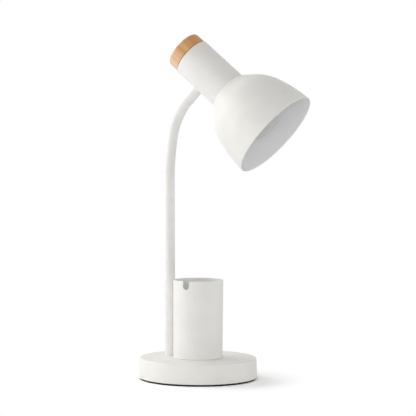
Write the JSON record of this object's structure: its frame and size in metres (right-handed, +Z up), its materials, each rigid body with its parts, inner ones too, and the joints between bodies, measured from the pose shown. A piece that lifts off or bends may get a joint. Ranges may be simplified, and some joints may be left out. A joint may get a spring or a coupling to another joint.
{
  "type": "gooseneck desk lamp with pen cup",
  "caption": "Gooseneck desk lamp: a bell shade with a wooden end cap on a flexible neck, over a round weighted base that carries an open pen cup.",
  "frame": {"origin": "centre of the base underside, on the surface that the lamp stands on", "axes": "+Z up; +X the way the shade points, with the neck on the -X side; the lamp is symmetric about X-Z apart from the notch in the cup rim"},
  "size_m": [0.2188, 0.15, 0.433],
  "materials": {
    "base_paint": "satin powder coat",
    "ballast_iron": "as cast",
    "plate_zinc": "zinc plated",
    "pad_foam": "closed-cell foam",
    "bush_plastic": "moulded",
    "terminal_plastic": "moulded",
    "stud_steel": "turned, zinc plated",
    "nut_brass": "turned",
    "cup_paint": "satin powder coat",
    "sleeve_silicone": "smooth satin",
    "hose_steel": "wound",
    "lead_insulation": "smooth",
    "collar_paint": "satin powder coat",
    "head_paint": "satin powder coat",
    "cap_beech": "oiled beech",
    "holder_plastic": "moulded",
    "holder_brass": "pressed",
    "shade_paint": "satin powder coat",
    "globe_frosted": "frosted diffuser",
    "bulb_plastic": "moulded",
    "board_aluminium": "white solder mask",
    "cap_nickel": "nickel plated",
    "insulator_black": "vitrite"
  },
  "bodies": {
    "base": {"base_shell": "base_paint", "base_ballast": "ballast_iron", "base_plate": "plate_zinc", "base_pad": "pad_foam", "plate_screws": "plate_zinc", "cord_bush": "bush_plastic", "terminal_block": "terminal_plastic", "foot_nipple": "stud_steel", "foot_washer": "plate_zinc", "foot_nut": "nut_brass", "foot_ferrule": "stud_steel", "pen_cup": "cup_paint", "cup_screw": "plate_zinc", "cup_washer": "plate_zinc", "cup_nut": "plate_zinc", "neck_sleeve_0": "sleeve_silicone", "neck_hose_0": "hose_steel", "lamp_leads": "lead_insulation"},
    "neck_link_1": {"neck_sleeve_1": "sleeve_silicone", "neck_hose_1": "hose_steel"},
    "neck_link_2": {"neck_sleeve_2": "sleeve_silicone", "neck_hose_2": "hose_steel"},
    "neck_link_3": {"neck_sleeve_3": "sleeve_silicone", "neck_hose_3": "hose_steel"},
    "neck_link_4": {"neck_sleeve_4": "sleeve_silicone", "neck_hose_4": "hose_steel"},
    "neck_link_5": {"neck_sleeve_5": "sleeve_silicone", "neck_hose_5": "hose_steel"},
    "neck_link_6": {"neck_sleeve_6": "sleeve_silicone", "neck_hose_6": "hose_steel"},
    "neck_link_7": {"neck_sleeve_7": "sleeve_silicone", "neck_hose_7": "hose_steel"},
    "neck_link_8": {"neck_sleeve_8": "sleeve_silicone", "neck_hose_8": "hose_steel"},
    "neck_link_9": {"neck_sleeve_9": "sleeve_silicone", "neck_hose_9": "hose_steel"},
    "head": {"neck_sleeve_10": "sleeve_silicone", "neck_hose_10": "hose_steel", "top_ferrule": "collar_paint", "top_washer": "plate_zinc", "top_nut": "nut_brass", "head_housing": "head_paint", "wood_cap": "cap_beech", "holder_plate": "plate_zinc", "holder_body": "holder_plastic", "holder_shell": "holder_brass", "holder_contact": "holder_brass", "holder_terminals": "holder_brass", "shade_ring": "holder_plastic", "shade": "shade_paint", "bulb_globe": "globe_frosted", "bulb_collar": "bulb_plastic", "bulb_board": "board_aluminium", "bulb_cap": "cap_nickel", "bulb_insulator": "insulator_black", "bulb_contact": "cap_nickel"}
  },
  "joints": [
    {"name": "neck_foot_bend", "type": "hinge", "parent": "base", "child": "neck_link_1", "pos_m": [-0.0385, 0, 0.0717], "axis": [0, 1, 0], "range_deg": [-12, 0]},
    {"name": "neck_bend_1", "type": "hinge", "parent": "neck_link_1", "child": "neck_link_2", "pos_m": [-0.03902, 0, 0.1317], "axis": [0, 1, 0], "range_deg": [-12, 8], "deforming": ["lamp_leads"]},
    {"name": "neck_sway_1", "type": "hinge", "parent": "neck_link_2", "child": "neck_link_3", "pos_m": [-0.03923, 0, 0.1553], "axis": [1, 0, 0.0087], "range_deg": [-12, 12]},
    {"name": "neck_bend_2", "type": "hinge", "parent": "neck_link_3", "child": "neck_link_4", "pos_m": [-0.03943, 0, 0.1789], "axis": [0, 1, 0], "range_deg": [-12, 8]},
    {"name": "neck_bend_3", "type": "hinge", "parent": "neck_link_4", "child": "neck_link_5", "pos_m": [-0.03964, 0, 0.2025], "axis": [0, 1, 0], "range_deg": [-12, 8]},
    {"name": "neck_sway_2", "type": "hinge", "parent": "neck_link_5", "child": "neck_link_6", "pos_m": [-0.03985, 0, 0.22609], "axis": [1, 0, 0.0087], "range_deg": [-12, 12]},
    {"name": "neck_bend_4", "type": "hinge", "parent": "neck_link_6", "child": "neck_link_7", "pos_m": [-0.04005, 0, 0.24969], "axis": [0, 1, 0], "range_deg": [-12, 8]},
    {"name": "neck_bend_5", "type": "hinge", "parent": "neck_link_7", "child": "neck_link_8", "pos_m": [-0.03905, 0, 0.27846], "axis": [0, 1, 0], "range_deg": [-12, 8]},
    {"name": "neck_sway_3", "type": "hinge", "parent": "neck_link_8", "child": "neck_link_9", "pos_m": [-0.03554, 0, 0.30704], "axis": [0.9863, 0, -0.165], "range_deg": [-12, 12]},
    {"name": "neck_bend_6", "type": "hinge", "parent": "neck_link_9", "child": "head", "pos_m": [-0.02854, 0, 0.32946], "axis": [0, 1, 0], "range_deg": [-12, 8]}
  ],
  "couplings": [
    {"joint": "neck_bend_2", "follows": "neck_bend_1", "ratio": 1},
    {"joint": "neck_bend_3", "follows": "neck_bend_1", "ratio": 1},
    {"joint": "neck_bend_4", "follows": "neck_bend_1", "ratio": 1},
    {"joint": "neck_bend_5", "follows": "neck_bend_1", "ratio": 1},
    {"joint": "neck_bend_6", "follows": "neck_bend_1", "ratio": 1},
    {"joint": "neck_sway_2", "follows": "neck_sway_1", "ratio": 1},
    {"joint": "neck_sway_3", "follows": "neck_sway_1", "ratio": 1}
  ]
}
